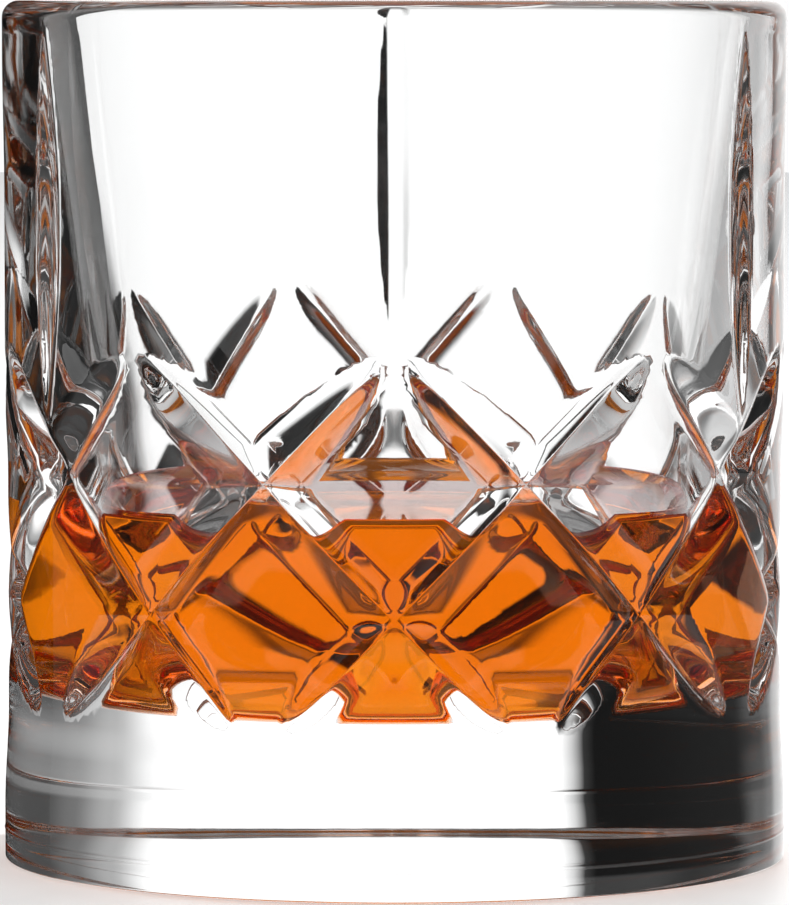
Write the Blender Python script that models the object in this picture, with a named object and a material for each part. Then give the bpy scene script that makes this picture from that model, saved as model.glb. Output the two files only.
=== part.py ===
"""Whiskey tumbler: one pressed-glass tumbler and the whiskey that stands in it.

Metres, +Z up. The origin is the centre of the underside, on the plane that the foot rests on.
Azimuths are in degrees round the axis, from the front (-Y) and positive towards +X.

The glass is a turned body with a heavy base. Two families of nine V-grooves wind round its lower
half, one family each way, and cross to leave a lattice of diamonds. Three upright mitre cuts rise
above every third upper crossing of the lattice and run out just under the rim.
"""

import math

import bmesh
import bpy

# Tumbler body
HEIGHT = 0.0931
RIM_RADIUS = 0.0425
BODY_RADIUS = 0.0423
LATTICE_RADIUS = 0.0420  # the wall draws in slightly round the lattice
LATTICE_LOW_Z = 0.0145
LATTICE_HIGH_Z = 0.0585
DRAW_IN = 0.0035  # height over which the wall draws in above and below the lattice
FLARE_START = 0.074  # height at which the straight body begins to open towards the rim
RIM_TOP = 0.0913  # height at which the rim starts to round over
FOOT_RADIUS = 0.0413  # outer edge of the flat ring that the glass rests on
FOOT_RISE = 0.0004  # height of the foot's rounded corner
RING_WIDTH = 0.0053
RECESS_DEPTH = 0.00015  # faint hollow under the base, inside the resting ring
RECESS_SLOPE = 0.0060

# Cavity
FLOOR_Z = 0.0176
FLOOR_CORNER = 0.0070
WAIST_Z = 0.0350  # below this height the bore hardly changes
WAIST_RADIUS = 0.0320
MOUTH_RADIUS = 0.0389
MOUTH_POWER = 1.1  # above 1, the bore opens out a little later than a straight cone

# Lattice of grooves
GROOVES = 9
PITCH = 360.0 / GROOVES
LOWER_NODE_Z = 0.0290
UPPER_NODE_Z = 0.0431
GROOVE_TOP_Z = 0.0558
GROOVE_BOTTOM_Z = 0.0178
GROOVE_HALF_WIDTH = 0.0026
GROOVE_DEPTH = 0.0022
GROOVE_RUN_OUT = 0.0040  # length over which a groove rises to the surface at each end
SPAN_STEPS = 6  # stations along each of a groove's three spans, which its two nodes part

# Upright mitre cuts
CUTS = 3
FIRST_CUT = 60.0
CUT_TOP_Z = 0.0902
CUT_BOTTOM_Z = 0.0484
CUT_HALF_WIDTH = 0.0025
CUT_DEPTH = 0.0014
CUT_STATIONS = 17
LIFT_OUT = 0.0001  # how far a groove or cut rises clear of the wall at its ends

# Whiskey
LIQUID_Z = 0.0378
CLEARANCE = 0.0003  # gap kept between the whiskey and the glass round it

# Fineness
TURN_STEPS = 72
CUTTER_MARGIN = 0.0012  # how far a cutter stands out of the wall
MERGE = 0.00001


def clear_scene():
    for thing in list(bpy.data.objects):
        bpy.data.objects.remove(thing, do_unlink=True)


def principled(name, colour, roughness, ior):
    material = bpy.data.materials.new(name)
    material.use_nodes = True
    shader = material.node_tree.nodes["Principled BSDF"]
    shader.inputs["Base Color"].default_value = (*colour, 1.0)
    shader.inputs["Roughness"].default_value = roughness
    shader.inputs["Metallic"].default_value = 0.0
    shader.inputs["IOR"].default_value = ior
    shader.inputs["Transmission Weight"].default_value = 1.0
    return material


def link(name, mesh):
    thing = bpy.data.objects.new(name, mesh)
    bpy.context.scene.collection.objects.link(thing)
    return thing


def arc(centre, radii, start, end, steps):
    """Points (radius, height) on an elliptical arc, both ends included, angles in degrees."""
    points = []
    for i in range(steps + 1):
        angle = math.radians(start + (end - start) * i / steps)
        points.append((centre[0] + radii[0] * math.cos(angle), centre[1] + radii[1] * math.sin(angle)))
    return points


def bore_radius(z):
    """The cavity's radius at a height above its floor corner."""
    opening = max(0.0, (z - WAIST_Z) / (RIM_TOP - WAIST_Z))
    return WAIST_RADIUS + (MOUTH_RADIUS - WAIST_RADIUS) * opening**MOUTH_POWER


def bore_wall(low, high, steps, inset=0.0):
    """Points up the cavity wall, moved towards the axis by inset."""
    heights = [low + (high - low) * i / steps for i in range(steps + 1)]
    return [(bore_radius(z) - inset, z) for z in heights]


def outer_wall():
    """Points (radius, height) down the outer wall, from where the rim rounds over to the foot."""
    return [
        (RIM_RADIUS, RIM_TOP),
        (BODY_RADIUS, FLARE_START),
        (BODY_RADIUS, LATTICE_HIGH_Z + DRAW_IN),
        (LATTICE_RADIUS, LATTICE_HIGH_Z),
        (LATTICE_RADIUS, LATTICE_LOW_Z),
        (RIM_RADIUS, LATTICE_LOW_Z - DRAW_IN),
        (RIM_RADIUS, FOOT_RISE),
    ]


def wall_radius(z):
    """The outer wall's radius at a height."""
    wall = outer_wall()
    for (high_radius, high_z), (low_radius, low_z) in zip(wall, wall[1:]):
        if z >= low_z:
            return low_radius + (high_radius - low_radius) * (z - low_z) / (high_z - low_z)
    return RIM_RADIUS


def glass_profile():
    """Half-section of the tumbler, from the middle of the cavity floor round to the underside."""
    corner = (WAIST_RADIUS - FLOOR_CORNER, FLOOR_Z + FLOOR_CORNER)
    rim = ((MOUTH_RADIUS + RIM_RADIUS) / 2, RIM_TOP)
    rim_radii = ((RIM_RADIUS - MOUTH_RADIUS) / 2, HEIGHT - RIM_TOP)
    foot = (FOOT_RADIUS, FOOT_RISE)
    foot_radii = (RIM_RADIUS - FOOT_RADIUS, FOOT_RISE)
    ring_inside = FOOT_RADIUS - RING_WIDTH
    points = [(0.0, FLOOR_Z)]
    points += arc(corner, (FLOOR_CORNER, FLOOR_CORNER), -90, 0, 5)
    points += bore_wall(WAIST_Z, RIM_TOP, 8)[:-1]
    points += arc(rim, rim_radii, 180, 0, 8)
    points += outer_wall()[1:-1]
    points += arc(foot, foot_radii, 0, -90, 4)
    points += [(ring_inside, 0.0), (ring_inside - RECESS_SLOPE, RECESS_DEPTH), (0.0, RECESS_DEPTH)]
    return points


def whiskey_profile():
    """Half-section of the whiskey, from the middle of its surface round to its underside."""
    corner_radius = FLOOR_CORNER - CLEARANCE
    corner = (WAIST_RADIUS - FLOOR_CORNER, FLOOR_Z + FLOOR_CORNER)
    wall = bore_wall(WAIST_Z, LIQUID_Z, 2, inset=CLEARANCE)
    points = [(0.0, LIQUID_Z)]
    points += wall[::-1]
    points += arc(corner, (corner_radius, corner_radius), 0, -90, 5)
    points += [(0.0, FLOOR_Z + CLEARANCE)]
    return points


def turned(name, profile, material):
    """A body of revolution round +Z from a half-section at +X."""
    mesh = bpy.data.meshes.new(name)
    edges = [(i, i + 1) for i in range(len(profile) - 1)]
    mesh.from_pydata([(r, 0.0, z) for r, z in profile], edges, [])
    mesh.materials.append(material)
    thing = link(name, mesh)
    screw = thing.modifiers.new("Turn", "SCREW")
    screw.steps = TURN_STEPS
    screw.render_steps = TURN_STEPS
    screw.use_merge_vertices = True
    screw.merge_threshold = MERGE
    screw.use_smooth_shade = True
    return thing


def on_wall(radius, azimuth, z):
    angle = math.radians(azimuth)
    return (radius * math.sin(angle), -radius * math.cos(angle), z)


def add_wedge(bm, stations):
    """A closed three-sided bar through stations, each a list of its crease and two upper corners."""
    rings = [[bm.verts.new(corner) for corner in station] for station in stations]
    for near, far in zip(rings, rings[1:]):
        for i in range(3):
            j = (i + 1) % 3
            bm.faces.new((near[i], near[j], far[j], far[i]))
    bm.faces.new(rings[0])
    bm.faces.new(rings[-1])


def v_section(azimuth, z, cut_depth, full_depth, half_width, slope):
    """A V pointing at the axis, cut_depth into the wall, square to a line that climbs at slope."""
    crease = wall_radius(z) - cut_depth
    reach = full_depth + CUTTER_MARGIN
    spread = half_width * reach / full_depth
    across = math.degrees(spread * math.sin(slope) / LATTICE_RADIUS)
    up = spread * math.cos(slope)
    return [
        on_wall(crease, azimuth, z),
        on_wall(crease + reach, azimuth - across, z + up),
        on_wall(crease + reach, azimuth + across, z - up),
    ]


def cutter(name, wedges):
    """One hidden object that holds separate closed wedges for a Boolean to take away."""
    bm = bmesh.new()
    for stations in wedges:
        add_wedge(bm, stations)
    bmesh.ops.recalc_face_normals(bm, faces=bm.faces)
    mesh = bpy.data.meshes.new(name)
    bm.to_mesh(mesh)
    bm.free()
    thing = link(name, mesh)
    thing.hide_render = True
    thing.display_type = "WIRE"
    return thing


def groove_heights():
    """Heights of a groove's stations: both nodes among them, and closest together at its ends."""
    shares = [i / SPAN_STEPS for i in range(SPAN_STEPS)]
    below = [GROOVE_BOTTOM_Z + (LOWER_NODE_Z - GROOVE_BOTTOM_Z) * share**2 for share in shares]
    between = [LOWER_NODE_Z + (UPPER_NODE_Z - LOWER_NODE_Z) * share for share in shares]
    above = [GROOVE_TOP_Z - (GROOVE_TOP_Z - UPPER_NODE_Z) * (1 - share) ** 2 for share in shares]
    return below + between + above + [GROOVE_TOP_Z]


def groove_wedges(hand):
    """The nine grooves that climb one way round: hand is 1 towards +azimuth, -1 the other way."""
    rise_per_degree = (UPPER_NODE_Z - LOWER_NODE_Z) / (PITCH / 2)
    metres_per_degree = math.radians(1.0) * LATTICE_RADIUS
    slope = math.atan2(rise_per_degree, hand * metres_per_degree)
    wedges = []
    for groove in range(GROOVES):
        stations = []
        for z in groove_heights():
            azimuth = groove * PITCH + hand * (z - LOWER_NODE_Z) / rise_per_degree
            to_end = min(z - GROOVE_BOTTOM_Z, GROOVE_TOP_Z - z) / abs(math.sin(slope))
            still_rising = max(0.0, 1 - to_end / GROOVE_RUN_OUT)
            depth = (GROOVE_DEPTH + LIFT_OUT) * math.sqrt(1 - still_rising**2) - LIFT_OUT
            stations.append(v_section(azimuth, z, depth, GROOVE_DEPTH, GROOVE_HALF_WIDTH, slope))
        wedges.append(stations)
    return wedges


def cut_wedges():
    """The upright cuts, deepest half-way up, as a large wheel leaves them."""
    wedges = []
    for cut in range(CUTS):
        azimuth = FIRST_CUT + cut * 360.0 / CUTS
        stations = []
        for i in range(CUT_STATIONS):
            along = 2 * i / (CUT_STATIONS - 1) - 1
            z = (CUT_TOP_Z + CUT_BOTTOM_Z) / 2 + (CUT_TOP_Z - CUT_BOTTOM_Z) / 2 * along
            depth = (CUT_DEPTH + LIFT_OUT) * (1 - along**2) - LIFT_OUT
            stations.append(v_section(azimuth, z, depth, CUT_DEPTH, CUT_HALF_WIDTH, math.pi / 2))
        wedges.append(stations)
    return wedges


def subtract(body, tool):
    boolean = body.modifiers.new(tool.name, "BOOLEAN")
    boolean.operation = "DIFFERENCE"
    boolean.solver = "EXACT"
    boolean.object = tool


def make_tumbler():
    glass = principled("clear_glass", (0.97, 0.98, 0.98), 0.02, 1.52)
    body = turned("tumbler_glass", glass_profile(), glass)
    subtract(body, cutter("right_hand_grooves", groove_wedges(1)))
    subtract(body, cutter("left_hand_grooves", groove_wedges(-1)))
    subtract(body, cutter("upright_cuts", cut_wedges()))
    return body


def make_whiskey():
    amber = principled("whiskey", (0.80, 0.31, 0.02), 0.0, 1.36)
    return turned("whiskey", whiskey_profile(), amber)


clear_scene()
make_tumbler()
make_whiskey()
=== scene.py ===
import math

import bpy
import numpy as np
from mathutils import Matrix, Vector
from mathutils.geometry import delaunay_2d_cdt


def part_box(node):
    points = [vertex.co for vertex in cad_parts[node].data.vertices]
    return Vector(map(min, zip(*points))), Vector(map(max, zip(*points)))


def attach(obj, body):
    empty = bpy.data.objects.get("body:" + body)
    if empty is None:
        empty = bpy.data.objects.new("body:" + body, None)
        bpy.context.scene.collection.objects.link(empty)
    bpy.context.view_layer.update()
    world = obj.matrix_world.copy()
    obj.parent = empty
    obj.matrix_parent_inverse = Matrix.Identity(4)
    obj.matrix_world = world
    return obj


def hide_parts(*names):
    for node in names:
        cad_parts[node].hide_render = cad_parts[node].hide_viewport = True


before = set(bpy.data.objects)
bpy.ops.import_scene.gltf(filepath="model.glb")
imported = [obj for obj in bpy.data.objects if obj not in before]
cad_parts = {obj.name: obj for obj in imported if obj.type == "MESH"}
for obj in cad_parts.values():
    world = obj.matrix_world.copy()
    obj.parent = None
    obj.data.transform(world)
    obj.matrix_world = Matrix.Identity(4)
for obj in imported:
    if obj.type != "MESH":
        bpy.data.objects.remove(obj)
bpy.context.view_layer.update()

GLASS_LOW, GLASS_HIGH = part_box("tumbler_glass")
DRINK_LOW, DRINK_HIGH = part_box("whiskey")

# Lengths are in millimetres unless a name or a comment says otherwise, and azimuths are in degrees
# round the axis, from the front and positive towards +X.
MM = 0.001

# Sizes that the frame gives
RIM_RADIUS = GLASS_HIGH[0] / MM
HEIGHT = GLASS_HIGH[2] / MM
LIQUID_Z = DRINK_HIGH[2] / MM
CLEARANCE = 0.3  # gap that the frame keeps between the whiskey and the glass
FLOOR_Z = DRINK_LOW[2] / MM - CLEARANCE

# Outer wall: a straight wall, a slight waist round the lattice and a full foot. Each change of
# radius is spread over a range of heights.
WAIST_INSET = 0.5
WALL_INSET = 0.2
FOOT_TO_WAIST = (6.0, 17.0)
WAIST_TO_WALL = (42.0, 51.0)
WALL_TO_RIM = (72.0, 88.0)
RIM_START = 91.3  # height at which the rim starts to round over
FOOT_TOP = 2.4
FOOT_JOIN = 4.4  # above this height the wall is a patch of its own, with the cuts in it
FOOT_CORNER = 1.2
FOOT_RISE = 0.4
RING_INSIDE = 36.0
RECESS = 0.15
SEAM_Z = 3.4  # fine ridge where the mould's base plate met its side
SEAM_PROUD = 0.07
SEAM_WIDTH = 0.13

# Lattice
GROOVES = 9
HALF_PITCH = 180.0 / GROOVES
LOWER_NODE_Z = 29.0
UPPER_NODE_Z = 43.1
GROOVE_TOP_Z = 55.8
GROOVE_BOTTOM_Z = 17.8
GROOVE_DEPTH = 2.2
GROOVE_REACH = 4.1  # from a crease to where its rounded flank has become the plain wall
GROOVE_END_POWER = 9  # how late a groove starts to run out on its way to its ends
CREASE_ROUND = 0.06
END_ROUND = 0.9
END_ROUND_POWER = 12
SHOULDER_ROUND = 0.3
PAST_THE_END = 1.3  # how far beyond its own ends a groove or cut is still worked out

# Upright cuts
CUTS = 3
CUT_AZIMUTH = 60.0
CUT_TOP_Z = 90.2
CUT_BOTTOM_Z = 48.4
CUT_DEPTH = 1.4
CUT_REACH = 3.1
CUT_SHOULDER = 0.15

# Cavity
FLOOR_CORNER = 7.0
BORE_WAIST_Z = 35.0
BORE_WAIST = 32.0
MOUTH = 38.9
MOUTH_POWER = 1.1

# Drink
OVERLAP = 0.1  # how far the drink reaches into the glass
MENISCUS = 1.5
CAPILLARY = 1.6  # distance over which the drink's raised edge falls off
EDGE_ZONE = 7.2

# Studio: the light that the glass sees in each direction. Each table is (azimuth, brightness), with
# azimuth 0 straight behind the glass and positive to the right. From one table to the next the
# light changes over a range of elevations.
PANEL_GLOW = 1.22
WALLS = (
    (-180, 0.04),
    (-110, 0.05),
    (-80, 0.07),
    (-58, 0.1),
    (-50, 0.004),
    (-20, 0.004),
    (-17, 1.0),
    (26, 1.0),
    (34, 0.38),
    (43, 0.15),
    (52, 0.07),
    (80, 0.1),
    (110, 0.06),
    (140, 0.04),
    (180, 0.04),
)
LOW_WALLS = (
    (-180, 0.1),
    (-155, 0.1),
    (-135, 0.8),
    (-100, 0.8),
    (-88, 0.1),
    (-80, 0.01),
    (-50, 0.004),
    (-20, 0.004),
    (-16, 1.0),
    (20, 1.0),
    (32, 0.6),
    (50, 0.4),
    (80, 0.35),
    (100, 0.8),
    (135, 0.8),
    (155, 0.1),
    (180, 0.1),
)
OVERHEAD = (
    (-180, 0.15),
    (-60, 0.1),
    (-30, 0.1),
    (-17, 0.8),
    (22, 0.8),
    (60, 0.3),
    (180, 0.15),
)
NEAR_FLOOR = (
    (-180, 0.2),
    (-150, 0.2),
    (-110, 0.5),
    (-80, 0.5),
    (-50, 0.15),
    (50, 0.15),
    (80, 0.5),
    (110, 0.5),
    (150, 0.2),
    (180, 0.2),
)
FLOOR_TO_LOW_WALLS = (-36, -23)
LOW_WALLS_TO_WALLS = (-11, -7)
WALLS_TO_OVERHEAD = (35, 65)

# A black card close beside the glass, which darkens its left edge
CARD_LEFT = -100.0
CARD_RIGHT = -40.0
CARD_BACK = 18.0
CARD_LOW = -20.0
CARD_HIGH = 120.0

# Floor, lamp and camera, in metres
FLOOR_HALF = 3.0
LAMP_SIZE = 3.0
LAMP_HEIGHT = 2.5
LAMP_POWER = 95.0
CAMERA_DISTANCE = 0.75
TARGET_HEIGHT = 0.0440
LENS = 274.7

# Fineness of the meshes
COLUMNS = 360
DRINK_COLUMNS = 216
SECTOR = 60.0
BESIDE_CREASE = (0.1, 0.35, 0.7, 1.1, 1.6, 2.2, 2.9, 3.6, 4.3)
BESIDE_CUT = (0.3, 0.6, 0.9, 1.3, 1.7, 2.1, 2.5, 3.0, 3.6)
ALONG_CREASE = 0.45
ALONG_CUT = 0.5
NET_STEP = 0.7
NET_ROW = 0.9
NET_OFF_SIDE = 0.6
NET_OFF_TOP = 0.5
UNCUT = 0.02  # depth below which the wall counts as plain
SIDE_ROWS = 120
EDGE_MARGIN = 0.12
SLOPE_STEP = 0.01
WELD_GRID = 2e-7  # metres
FLOOR_RINGS = (20, 14, 8, 3, 0)  # radii


def soft_positive(value, width):
    """The positive part of a field, with its corner rounded over width each way."""
    width = np.maximum(width, 1e-9)
    rounded = (value + width) ** 2 / (4 * width)
    return np.where(value <= -width, 0.0, np.where(value >= width, value, rounded))


def ease(value, start, end):
    """0 up to start, 1 from end on, and a smooth rise between them."""
    share = np.clip((value - start) / (end - start), 0.0, 1.0)
    return share * share * (3 - 2 * share)


def plain_radius(z):
    """Radius of the outer wall before anything is cut into it."""
    above_foot = ease(z, *FOOT_TO_WAIST)
    above_waist = ease(z, *WAIST_TO_WALL)
    near_rim = ease(z, *WALL_TO_RIM)
    foot = SEAM_PROUD * (1 - above_foot)
    waist = WAIST_INSET * above_foot * (1 - above_waist)
    wall = WALL_INSET * above_waist * (1 - near_rim)
    return RIM_RADIUS - foot - waist - wall


def groove_depths(azimuth, z):
    """Depths of the two families of grooves, 0 on the plain wall.

    Across a groove the wall falls away along a parabola to a sharp crease. The groove runs out at its
    ends because the whole section rises through the wall. Half-way between two grooves the depth is
    exactly 0, so the two meet there without a step.
    """
    up_unit = UPPER_NODE_Z - LOWER_NODE_Z
    across = azimuth / HALF_PITCH
    up = (z - LOWER_NODE_Z) / up_unit
    arc_unit = math.radians(HALF_PITCH) * (RIM_RADIUS - WAIST_INSET)
    lane_width = arc_unit * up_unit / math.hypot(arc_unit, up_unit)
    low = (GROOVE_BOTTOM_Z - LOWER_NODE_Z) / up_unit
    high = (GROOVE_TOP_Z - LOWER_NODE_Z) / up_unit
    depths = []
    for hand in (1, -1):
        lane = across - hand * up
        off_lane = lane - 2 * np.round(lane / 2)
        along = (up + hand * off_lane / 2 - (low + high) / 2) / ((high - low) / 2)
        along = np.clip(np.abs(along), 0.0, PAST_THE_END)
        crease = CREASE_ROUND + END_ROUND * along**END_ROUND_POWER
        distance = np.sqrt((off_lane * lane_width) ** 2 + crease**2) - crease
        section = np.maximum(1 - distance / GROOVE_REACH, 0.0) ** 2
        lift = GROOVE_DEPTH * along**GROOVE_END_POWER
        depths.append(soft_positive(GROOVE_DEPTH * section - lift, np.minimum(SHOULDER_ROUND, lift)))
    return depths


def cut_depth(azimuth, z):
    """Depth of the upright cuts: rounded across, and deepest half-way up."""
    spacing = 360.0 / CUTS
    off = (azimuth - CUT_AZIMUTH + spacing / 2) % spacing - spacing / 2
    across = np.clip(np.abs(np.radians(off) * RIM_RADIUS / CUT_REACH), 0.0, 1.0)
    section = (1 + np.cos(math.pi * across)) / 2
    along = (2 * z - CUT_TOP_Z - CUT_BOTTOM_Z) / (CUT_TOP_Z - CUT_BOTTOM_Z)
    lift = CUT_DEPTH * np.clip(along, -PAST_THE_END, PAST_THE_END) ** 2
    return soft_positive(CUT_DEPTH * section - lift, np.minimum(CUT_SHOULDER, lift))


def outer_radius(azimuth, z):
    """Radius of the finished outer wall.

    The heights that two crossing grooves leave are multiplied, so the pillow between them has smooth
    corners.
    """
    one, other = groove_depths(azimuth, z)
    grooves = one + other - one * other / GROOVE_DEPTH
    return plain_radius(z) - grooves - cut_depth(azimuth, z)


def place(radius, azimuth, z):
    """World points in metres from arrays of radius, azimuth in degrees and height in millimetres."""
    angle = np.radians(azimuth)
    return np.stack([radius * np.sin(angle), -radius * np.cos(angle), z], axis=-1) * MM


def outer_normals(azimuth, z):
    """Unit normals of the outer wall, from its slopes."""
    step = SLOPE_STEP
    per_degree = (outer_radius(azimuth + step, z) - outer_radius(azimuth - step, z)) / (2 * step)
    per_mm = (outer_radius(azimuth, z + step) - outer_radius(azimuth, z - step)) / (2 * step)
    angle = np.radians(azimuth)
    out = np.stack([np.sin(angle), -np.cos(angle), np.zeros_like(angle)], axis=-1)
    beside = np.stack([np.cos(angle), np.sin(angle), np.zeros_like(angle)], axis=-1)
    lean = np.degrees(per_degree) / outer_radius(azimuth, z)
    normal = out - beside * lean[..., None]
    normal[..., 2] -= per_mm
    return normal / np.linalg.norm(normal, axis=-1, keepdims=True)


def groove_lines(hand):
    """Azimuths and heights along the crease of each groove that can cross the sector."""
    up_unit = UPPER_NODE_Z - LOWER_NODE_Z
    stops = (GROOVE_BOTTOM_Z, LOWER_NODE_Z, UPPER_NODE_Z, GROOVE_TOP_Z)
    heights = []
    for low, high in zip(stops, stops[1:]):
        steps = round((high - low) / ALONG_CREASE)
        heights += [low + (high - low) * i / steps for i in range(steps)]
    heights = np.array(heights + [GROOVE_TOP_Z])
    for groove in (-1, 0, 1, 2):
        yield 2 * groove * HALF_PITCH + hand * (heights - LOWER_NODE_Z) / up_unit * HALF_PITCH, heights


def half_sector():
    """The outer wall from azimuth 0 to SECTOR as azimuths, heights and triangles.

    Points lie along every groove and cut, close together across their creases and shoulders, so that
    the facets follow the cuts. Both edges of the sector are mirror planes of the glass.
    """
    arc = math.radians(1.0) * RIM_RADIUS
    low_z, high_z = FOOT_JOIN, RIM_START
    slope = math.atan2(UPPER_NODE_Z - LOWER_NODE_Z, HALF_PITCH * arc)
    points, edges = [], []

    def add(azimuth, z):
        points.append((azimuth * arc, z))
        return len(points) - 1

    def inside(azimuth, z, margin=EDGE_MARGIN):
        return margin < azimuth < SECTOR - margin and low_z + margin < z < high_z - margin

    # The outline: its two level edges match the columns of the turned parts that join them.
    per_sector = round(COLUMNS * SECTOR / 360)
    fixed_z = np.array([LOWER_NODE_Z, UPPER_NODE_Z, CUT_TOP_Z, CUT_BOTTOM_Z])
    apart = 0.2
    free_z = [z for z in np.linspace(low_z, high_z, SIDE_ROWS) if np.abs(fixed_z - z).min() > apart]
    side_z = np.sort(np.concatenate([free_z, fixed_z]))
    outline = [add(SECTOR * i / per_sector, low_z) for i in range(per_sector)]
    outline += [add(SECTOR, z) for z in side_z[:-1]]
    outline += [add(SECTOR * i / per_sector, high_z) for i in range(per_sector, 0, -1)]
    outline += [add(0.0, z) for z in side_z[:0:-1]]

    # Creases, as chains that the triangles must follow, and lines of points beside them.
    for hand in (1, -1):
        for azimuth, z in groove_lines(hand):
            last = None
            for a, h in zip(azimuth, z):
                on_edge = min(abs(a), abs(a - SECTOR)) < 1e-6
                if on_edge or inside(a, h):
                    now = add(min(max(a, 0.0), SECTOR), h)
                    if last is not None:
                        edges.append((last, now))
                    last = now
                else:
                    last = None
            for gap in BESIDE_CREASE:
                for side in (1, -1):
                    a = azimuth - hand * side * gap * math.sin(slope) / arc
                    h = z + side * gap * math.cos(slope)
                    for i in range(len(a)):
                        if inside(a[i], h[i]):
                            add(a[i], h[i])

    # Half of the upright cut lies inside the sector.
    for z in np.arange(CUT_BOTTOM_Z + apart, CUT_TOP_Z, ALONG_CUT):
        for gap in BESIDE_CUT:
            add(SECTOR - gap / arc, z)

    # A plain net of points over the rest, with every other row moved over by one step.
    for row, z in enumerate(np.arange(low_z + NET_ROW, high_z - NET_OFF_TOP, NET_ROW)):
        for a in np.arange(NET_STEP * (1 + row % 2), SECTOR - NET_OFF_SIDE, 2 * NET_STEP):
            if max(*groove_depths(a, z), cut_depth(a, z)) < UNCUT:
                add(a, z)

    flat_points = [Vector(point) for point in points]
    verts, _, faces, _, _, _ = delaunay_2d_cdt(flat_points, edges, [outline], 1, 1e-4)
    flat = np.array([vert[:] for vert in verts])
    return flat[:, 0] / arc, flat[:, 1], np.array([face for face in faces if len(face) == 3])


def turned_patch(profile, columns=COLUMNS):
    """Points, normals and faces of a surface of revolution, from (radius, height) points in order.

    The profile runs out along a face that looks up, down a face that looks outwards, and so on round.
    Each tangent leans towards the nearer neighbour, so unequal steps don't tilt the shading.
    """
    profile = np.array(profile)
    before = np.vstack([profile[:1], profile[:-1]])
    after = np.vstack([profile[1:], profile[-1:]])
    back, ahead = profile - before, after - profile
    back_len = np.linalg.norm(back, axis=1)[:, None]
    ahead_len = np.linalg.norm(ahead, axis=1)[:, None]
    with np.errstate(divide="ignore", invalid="ignore"):
        tangent = np.nan_to_num(back / back_len**2) + np.nan_to_num(ahead / ahead_len**2)
    tangent /= np.linalg.norm(tangent, axis=1)[:, None]
    azimuth = np.arange(columns) * 360.0 / columns
    angle = np.radians(azimuth)
    out = np.stack([np.sin(angle), -np.cos(angle)], axis=1)
    points = np.empty((len(profile), columns, 3))
    points[..., :2] = profile[:, None, :1] * out[None]
    points[..., 2] = profile[:, 1:]
    normals = np.empty_like(points)
    normals[..., :2] = -tangent[:, None, 1:] * out[None]
    normals[..., 2] = tangent[:, :1]
    faces = []
    for row in range(len(profile) - 1):
        for column in range(columns):
            beside = (column + 1) % columns
            a, b = row * columns + column, row * columns + beside
            faces.append((a, a + columns, b + columns, b))
    return points.reshape(-1, 3) * MM, normals.reshape(-1, 3), faces


def weld(patches):
    """One set of points, normals and faces from patches whose edges coincide."""
    points = np.vstack([patch[0] for patch in patches])
    normals = np.vstack([patch[1] for patch in patches])
    keys = np.round(points / WELD_GRID).astype(np.int64)
    _, first, same = np.unique(keys, axis=0, return_index=True, return_inverse=True)
    same = same.reshape(-1)
    merged = np.zeros((len(first), 3))
    np.add.at(merged, same, normals)
    merged /= np.maximum(np.linalg.norm(merged, axis=1, keepdims=True), 1e-9)
    faces, base = [], 0
    for patch_points, _, patch_faces in patches:
        for face in patch_faces:
            loop = [int(same[base + i]) for i in face]
            loop = [v for i, v in enumerate(loop) if v != loop[i - 1]]
            if len(loop) > 2:
                faces.append(loop)
        base += len(patch_points)
    return points[first], merged, faces


def shaded_mesh(name, points, normals, faces, material):
    """A smooth object whose shading follows the given normals."""
    mesh = bpy.data.meshes.new(name)
    mesh.from_pydata(points.tolist(), [], faces)
    mesh.validate(clean_customdata=False)
    mesh.materials.append(material)
    mesh.polygons.foreach_set("use_smooth", [True] * len(mesh.polygons))
    mesh.normals_split_custom_set_from_vertices(normals.tolist())
    thing = bpy.data.objects.new(name, mesh)
    bpy.context.scene.collection.objects.link(thing)
    return thing


def arc_points(centre, radii, start, end, steps):
    """Points (radius, height) on an elliptical arc, both ends included."""
    turn = np.radians(np.linspace(start, end, steps + 1))
    return [(centre[0] + radii[0] * math.cos(t), centre[1] + radii[1] * math.sin(t)) for t in turn]


def bore_radius(z):
    """The cavity's radius at a height above its floor corner."""
    opening = max(0.0, (z - BORE_WAIST_Z) / (RIM_START - BORE_WAIST_Z))
    return BORE_WAIST + (MOUTH - BORE_WAIST) * opening**MOUTH_POWER


def cavity_bottom(outset):
    """Points down the straight foot of the bore and across the cavity floor, moved outwards by outset."""
    corner = (BORE_WAIST - FLOOR_CORNER, FLOOR_Z + FLOOR_CORNER)
    points = [(BORE_WAIST + outset, z) for z in np.linspace(BORE_WAIST_Z, corner[1], 6)[1:-1]]
    points += arc_points(corner, (FLOOR_CORNER + outset,) * 2, 0, -90, 14)
    return points + [(radius, FLOOR_Z - outset) for radius in FLOOR_RINGS]


def upper_profile():
    """Over the rim from the outer wall, down the bore and across the cavity floor to the axis."""
    rim = ((MOUTH + RIM_RADIUS) / 2, RIM_START)
    rim_radii = ((RIM_RADIUS - MOUTH) / 2, HEIGHT - RIM_START)
    points = arc_points(rim, rim_radii, 0, 180, 20)
    points += [(bore_radius(z), z) for z in np.linspace(RIM_START, BORE_WAIST_Z, 32)[1:]]
    return points + cavity_bottom(0.0)


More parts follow.
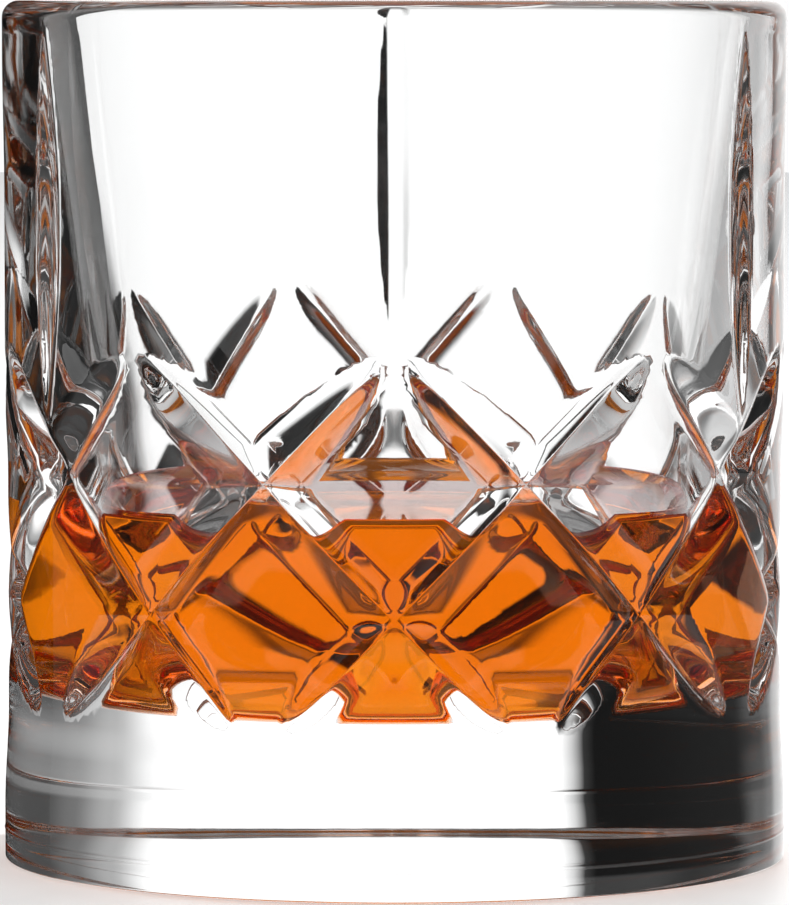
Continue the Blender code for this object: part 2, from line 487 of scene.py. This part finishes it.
def lower_profile():
    """From the middle of the underside out to the foot and up to the outer wall."""
    wall = RIM_RADIUS - SEAM_PROUD
    ring_outside = wall - FOOT_CORNER
    seam_half = 4 * SEAM_WIDTH
    seam_z = np.linspace(SEAM_Z - seam_half, SEAM_Z + seam_half, 17)
    points = [(r, RECESS * (1 - (r / RING_INSIDE) ** 2)) for r in np.linspace(0.0, RING_INSIDE, 10)]
    points += [(r, 0.0) for r in np.linspace(RING_INSIDE, ring_outside, 6)[1:-1]]
    points += arc_points((ring_outside, FOOT_RISE), (FOOT_CORNER, FOOT_RISE), -90, 0, 12)
    points += [(wall, FOOT_TOP)]
    points += [(wall + SEAM_PROUD * math.exp(-(((z - SEAM_Z) / SEAM_WIDTH) ** 2)), z) for z in seam_z]
    points += [(wall, FOOT_JOIN)]
    return points


def make_glass(material):
    """The tumbler: six half sectors of cut wall, and the turned parts above and below them."""
    azimuth, z, triangles = half_sector()
    for edge in (0.0, SECTOR):
        azimuth = np.where(np.abs(azimuth - edge) < 1e-4, edge, azimuth)
    a, b, c = triangles.T
    turn = (azimuth[b] - azimuth[a]) * (z[c] - z[a]) - (azimuth[c] - azimuth[a]) * (z[b] - z[a])
    triangles[turn < 0] = triangles[turn < 0][:, ::-1]
    radius = outer_radius(azimuth, z)
    patches = []
    for repeat in range(CUTS):
        for hand in (1, -1):
            around = repeat * 360.0 / CUTS + hand * azimuth
            order = triangles if hand == 1 else triangles[:, ::-1]
            patches.append((place(radius, around, z), outer_normals(around, z), order.tolist()))
    patches.append(turned_patch(upper_profile()[::-1]))
    patches.append(turned_patch(lower_profile()[::-1]))
    points, normals, faces = weld(patches)
    return shaded_mesh("tumbler_glass_fine", points, normals, faces, material)


def make_whiskey(material):
    """The drink, drawn slightly into the glass so that no film of air is left between them."""
    wall = bore_radius(LIQUID_Z)
    edge = wall + OVERLAP
    corner = 0.02
    radii = list(np.linspace(0, edge - 8, 8)) + list(np.linspace(edge - EDGE_ZONE, edge - corner, 30))
    points = [(r, LIQUID_Z + MENISCUS * math.exp((r - wall) / CAPILLARY)) for r in radii]
    top = points[-1][1]
    points += [(edge, top), (edge, top - corner)]
    points += [(bore_radius(z) + OVERLAP, z) for z in np.linspace(top, BORE_WAIST_Z, 5)[1:]]
    points += cavity_bottom(OVERLAP)
    return shaded_mesh("whiskey_fine", *weld([turned_patch(points, DRINK_COLUMNS)]), material)


def new_material(name):
    material = bpy.data.materials.new(name)
    material.use_nodes = True
    return material


def node(tree, kind, **inputs):
    """A new node with some of its inputs set; an underscore stands for a space in an input's name."""
    made = tree.nodes.new(kind)
    for name, value in inputs.items():
        made.inputs[name.replace("_", " ")].default_value = value
    return made


def add_detail(material, stretch, ripple, roughness, colours):
    """Ripples, wipe marks and a faint change of tint, from noise in the object's own space.

    stretch is the noise's scale along each axis, ripple the height of the ripples in metres, and
    roughness and colours each give the two ends between which the marks vary.
    """
    tree = material.node_tree
    shader = tree.nodes["Principled BSDF"]
    where = tree.nodes.new("ShaderNodeTexCoord")
    stretched = node(tree, "ShaderNodeMapping", Scale=stretch)
    ripples = node(tree, "ShaderNodeTexNoise", Scale=1.0, Detail=2.0)
    marks = node(tree, "ShaderNodeTexNoise", Scale=90.0, Detail=5.0)
    bump = node(tree, "ShaderNodeBump", Strength=1.0, Distance=ripple)
    rough = node(tree, "ShaderNodeMapRange", To_Min=roughness[0], To_Max=roughness[1])
    tint = tree.nodes.new("ShaderNodeValToRGB")
    for stop, colour in zip(tint.color_ramp.elements, colours):
        stop.color = (*colour, 1)
    tree.links.new(where.outputs["Object"], stretched.inputs["Vector"])
    tree.links.new(stretched.outputs["Vector"], ripples.inputs["Vector"])
    tree.links.new(where.outputs["Object"], marks.inputs["Vector"])
    tree.links.new(ripples.outputs["Fac"], bump.inputs["Height"])
    tree.links.new(marks.outputs["Fac"], rough.inputs["Value"])
    tree.links.new(marks.outputs["Fac"], tint.inputs["Fac"])
    tree.links.new(bump.outputs["Normal"], shader.inputs["Normal"])
    tree.links.new(rough.outputs["Result"], shader.inputs["Roughness"])
    tree.links.new(tint.outputs["Color"], shader.inputs["Base Color"])


def clear_solid(name, ior, shadow_colour):
    """A see-through material that lets lamps through."""
    material = new_material(name)
    tree = material.node_tree
    shader = tree.nodes["Principled BSDF"]
    shader.inputs["Transmission Weight"].default_value = 1.0
    shader.inputs["IOR"].default_value = ior
    clear = node(tree, "ShaderNodeBsdfTransparent", Color=shadow_colour)
    path = tree.nodes.new("ShaderNodeLightPath")
    mix = tree.nodes.new("ShaderNodeMixShader")
    tree.links.new(path.outputs["Is Shadow Ray"], mix.inputs["Fac"])
    tree.links.new(shader.outputs["BSDF"], mix.inputs[1])
    tree.links.new(clear.outputs["BSDF"], mix.inputs[2])
    tree.links.new(mix.outputs["Shader"], tree.nodes["Material Output"].inputs["Surface"])
    return material


def glass_material():
    material = clear_solid("clear_glass", 1.52, (0.93, 0.95, 0.95, 1))
    add_detail(material, (350, 350, 12), 2.5e-6, (0.0, 0.03), ((0.985, 0.99, 0.99), (1, 1, 1)))
    return material


def whiskey_material():
    material = clear_solid("whiskey", 1.36, (0.9, 0.45, 0.1, 1))
    add_detail(material, (120, 120, 120), 4e-6, (0.0, 0.02), ((1, 0.28, 0.01), (1, 0.31, 0.02)))
    tree = material.node_tree
    absorb = node(tree, "ShaderNodeVolumeAbsorption", Color=(0.98, 0.93, 0.5, 1), Density=130.0)
    tree.links.new(absorb.outputs["Volume"], tree.nodes["Material Output"].inputs["Volume"])
    return material


def floor_material():
    material = new_material("floor")
    add_detail(material, (60, 60, 60), 2e-5, (0.3, 0.45), ((0.85, 0.85, 0.85), (0.87, 0.87, 0.87)))
    return material


def card_material():
    material = new_material("black_card")
    blacks = ((0.004, 0.004, 0.004), (0.006, 0.006, 0.006))
    add_detail(material, (400, 400, 400), 2e-5, (0.85, 0.95), blacks)
    return material


def sheet(name, corners, material):
    """A flat four-cornered sheet that belongs to the studio; corners are in metres."""
    mesh = bpy.data.meshes.new(name)
    mesh.from_pydata(corners, [], [(0, 1, 2, 3)])
    mesh.materials.append(material)
    thing = bpy.data.objects.new(name, mesh)
    bpy.context.scene.collection.objects.link(thing)
    return thing


def brightness_ramp(tree, share, table):
    """A ramp over the share of a full turn, from a table of azimuths and brightnesses."""
    ramp = tree.nodes.new("ShaderNodeValToRGB")
    ramp.color_ramp.interpolation = "EASE"
    stops = ramp.color_ramp.elements
    stops.remove(stops[0])
    for i, (azimuth, light) in enumerate(table):
        position = 0.5 + azimuth / 360
        stop = stops.new(position) if i else stops[0]
        stop.position = position
        stop.color = (light, light, light, 1)
    tree.links.new(share, ramp.inputs["Fac"])
    return ramp.outputs["Color"]


def fade_to(tree, height, below, above, elevations):
    """Blends one colour into another as a direction's elevation goes through a range of degrees."""
    start, end = (math.sin(math.radians(elevation)) for elevation in elevations)
    fade = node(tree, "ShaderNodeMapRange", From_Min=start, From_Max=end)
    fade.interpolation_type = "SMOOTHSTEP"
    tree.links.new(height, fade.inputs["Value"])
    mix = tree.nodes.new("ShaderNodeMixRGB")
    tree.links.new(fade.outputs["Result"], mix.inputs["Fac"])
    tree.links.new(below, mix.inputs[1])
    tree.links.new(above, mix.inputs[2])
    return mix.outputs["Color"]


def build_world():
    """A studio of bright panels and dark gaps for the glass, and plain white straight to the camera."""
    world = bpy.context.scene.world or bpy.data.worlds.new("World")
    bpy.context.scene.world = world
    world.use_nodes = True
    tree = world.node_tree
    studio = tree.nodes["Background"]
    studio.inputs["Strength"].default_value = PANEL_GLOW
    where = tree.nodes.new("ShaderNodeTexCoord")
    split = tree.nodes.new("ShaderNodeSeparateXYZ")
    tree.links.new(where.outputs["Generated"], split.inputs["Vector"])
    turn = tree.nodes.new("ShaderNodeMath")
    turn.operation = "ARCTAN2"
    tree.links.new(split.outputs["X"], turn.inputs[0])
    tree.links.new(split.outputs["Y"], turn.inputs[1])
    share = node(tree, "ShaderNodeMapRange", From_Min=-math.pi, From_Max=math.pi)
    tree.links.new(turn.outputs["Value"], share.inputs["Value"])
    share = share.outputs["Result"]
    height = split.outputs["Z"]
    colour = brightness_ramp(tree, share, NEAR_FLOOR)
    bands = ((LOW_WALLS, FLOOR_TO_LOW_WALLS), (WALLS, LOW_WALLS_TO_WALLS), (OVERHEAD, WALLS_TO_OVERHEAD))
    for table, elevations in bands:
        colour = fade_to(tree, height, colour, brightness_ramp(tree, share, table), elevations)
    tree.links.new(colour, studio.inputs["Color"])
    plain = node(tree, "ShaderNodeBackground", Color=(1, 1, 1, 1), Strength=1.0)
    path = tree.nodes.new("ShaderNodeLightPath")
    choose = tree.nodes.new("ShaderNodeMixShader")
    tree.links.new(path.outputs["Is Camera Ray"], choose.inputs["Fac"])
    tree.links.new(studio.outputs["Background"], choose.inputs[1])
    tree.links.new(plain.outputs["Background"], choose.inputs[2])
    tree.links.new(choose.outputs["Shader"], tree.nodes["World Output"].inputs["Surface"])


def build_stage():
    """A pale floor that only the camera sees, the black card and a lamp that lights the floor."""
    turns = ((-1, -1), (1, -1), (1, 1), (-1, 1))
    floor = sheet("floor", [(x * FLOOR_HALF, y * FLOOR_HALF, 0) for x, y in turns], floor_material())
    floor.visible_glossy = False
    floor.visible_transmission = False
    low, high = CARD_LOW * MM, CARD_HIGH * MM
    left, right, back = CARD_LEFT * MM, CARD_RIGHT * MM, CARD_BACK * MM
    upright = [(left, back, low), (right, back, low), (right, back, high), (left, back, high)]
    card = sheet("edge_card", upright, card_material())
    card.visible_camera = False
    card.visible_shadow = False
    card.visible_diffuse = False
    lamp = bpy.data.lights.new("soft_top", "AREA")
    lamp.shape = "SQUARE"
    lamp.size = LAMP_SIZE
    lamp.energy = LAMP_POWER
    thing = bpy.data.objects.new("soft_top", lamp)
    bpy.context.scene.collection.objects.link(thing)
    thing.location = (0, 0, LAMP_HEIGHT)
    thing.visible_glossy = False
    thing.visible_transmission = False


def build_camera():
    """Straight in front of the glass, level with its rim."""
    data = bpy.data.cameras.new("camera")
    data.sensor_fit = "AUTO"
    data.sensor_width = 36.0
    data.lens = LENS
    data.clip_start = 0.05
    data.clip_end = 20
    camera = bpy.data.objects.new("camera", data)
    bpy.context.scene.collection.objects.link(camera)
    eye = Vector((0, -CAMERA_DISTANCE, HEIGHT * MM))
    target = Vector((0, 0, TARGET_HEIGHT))
    camera.location = eye
    camera.rotation_euler = (target - eye).to_track_quat("-Z", "Y").to_euler()
    bpy.context.scene.camera = camera


glass = make_glass(glass_material())
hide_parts("tumbler_glass")
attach(glass, "root")

whiskey = make_whiskey(whiskey_material())
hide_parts("whiskey")
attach(whiskey, "root")

build_world()
build_stage()
build_camera()

# Light passes many glass surfaces on its way through the lattice.
bpy.context.scene.view_settings.view_transform = "Standard"
cycles = bpy.context.scene.cycles
cycles.max_bounces = 32
cycles.transmission_bounces = 32
cycles.transparent_max_bounces = 32
cycles.glossy_bounces = 16
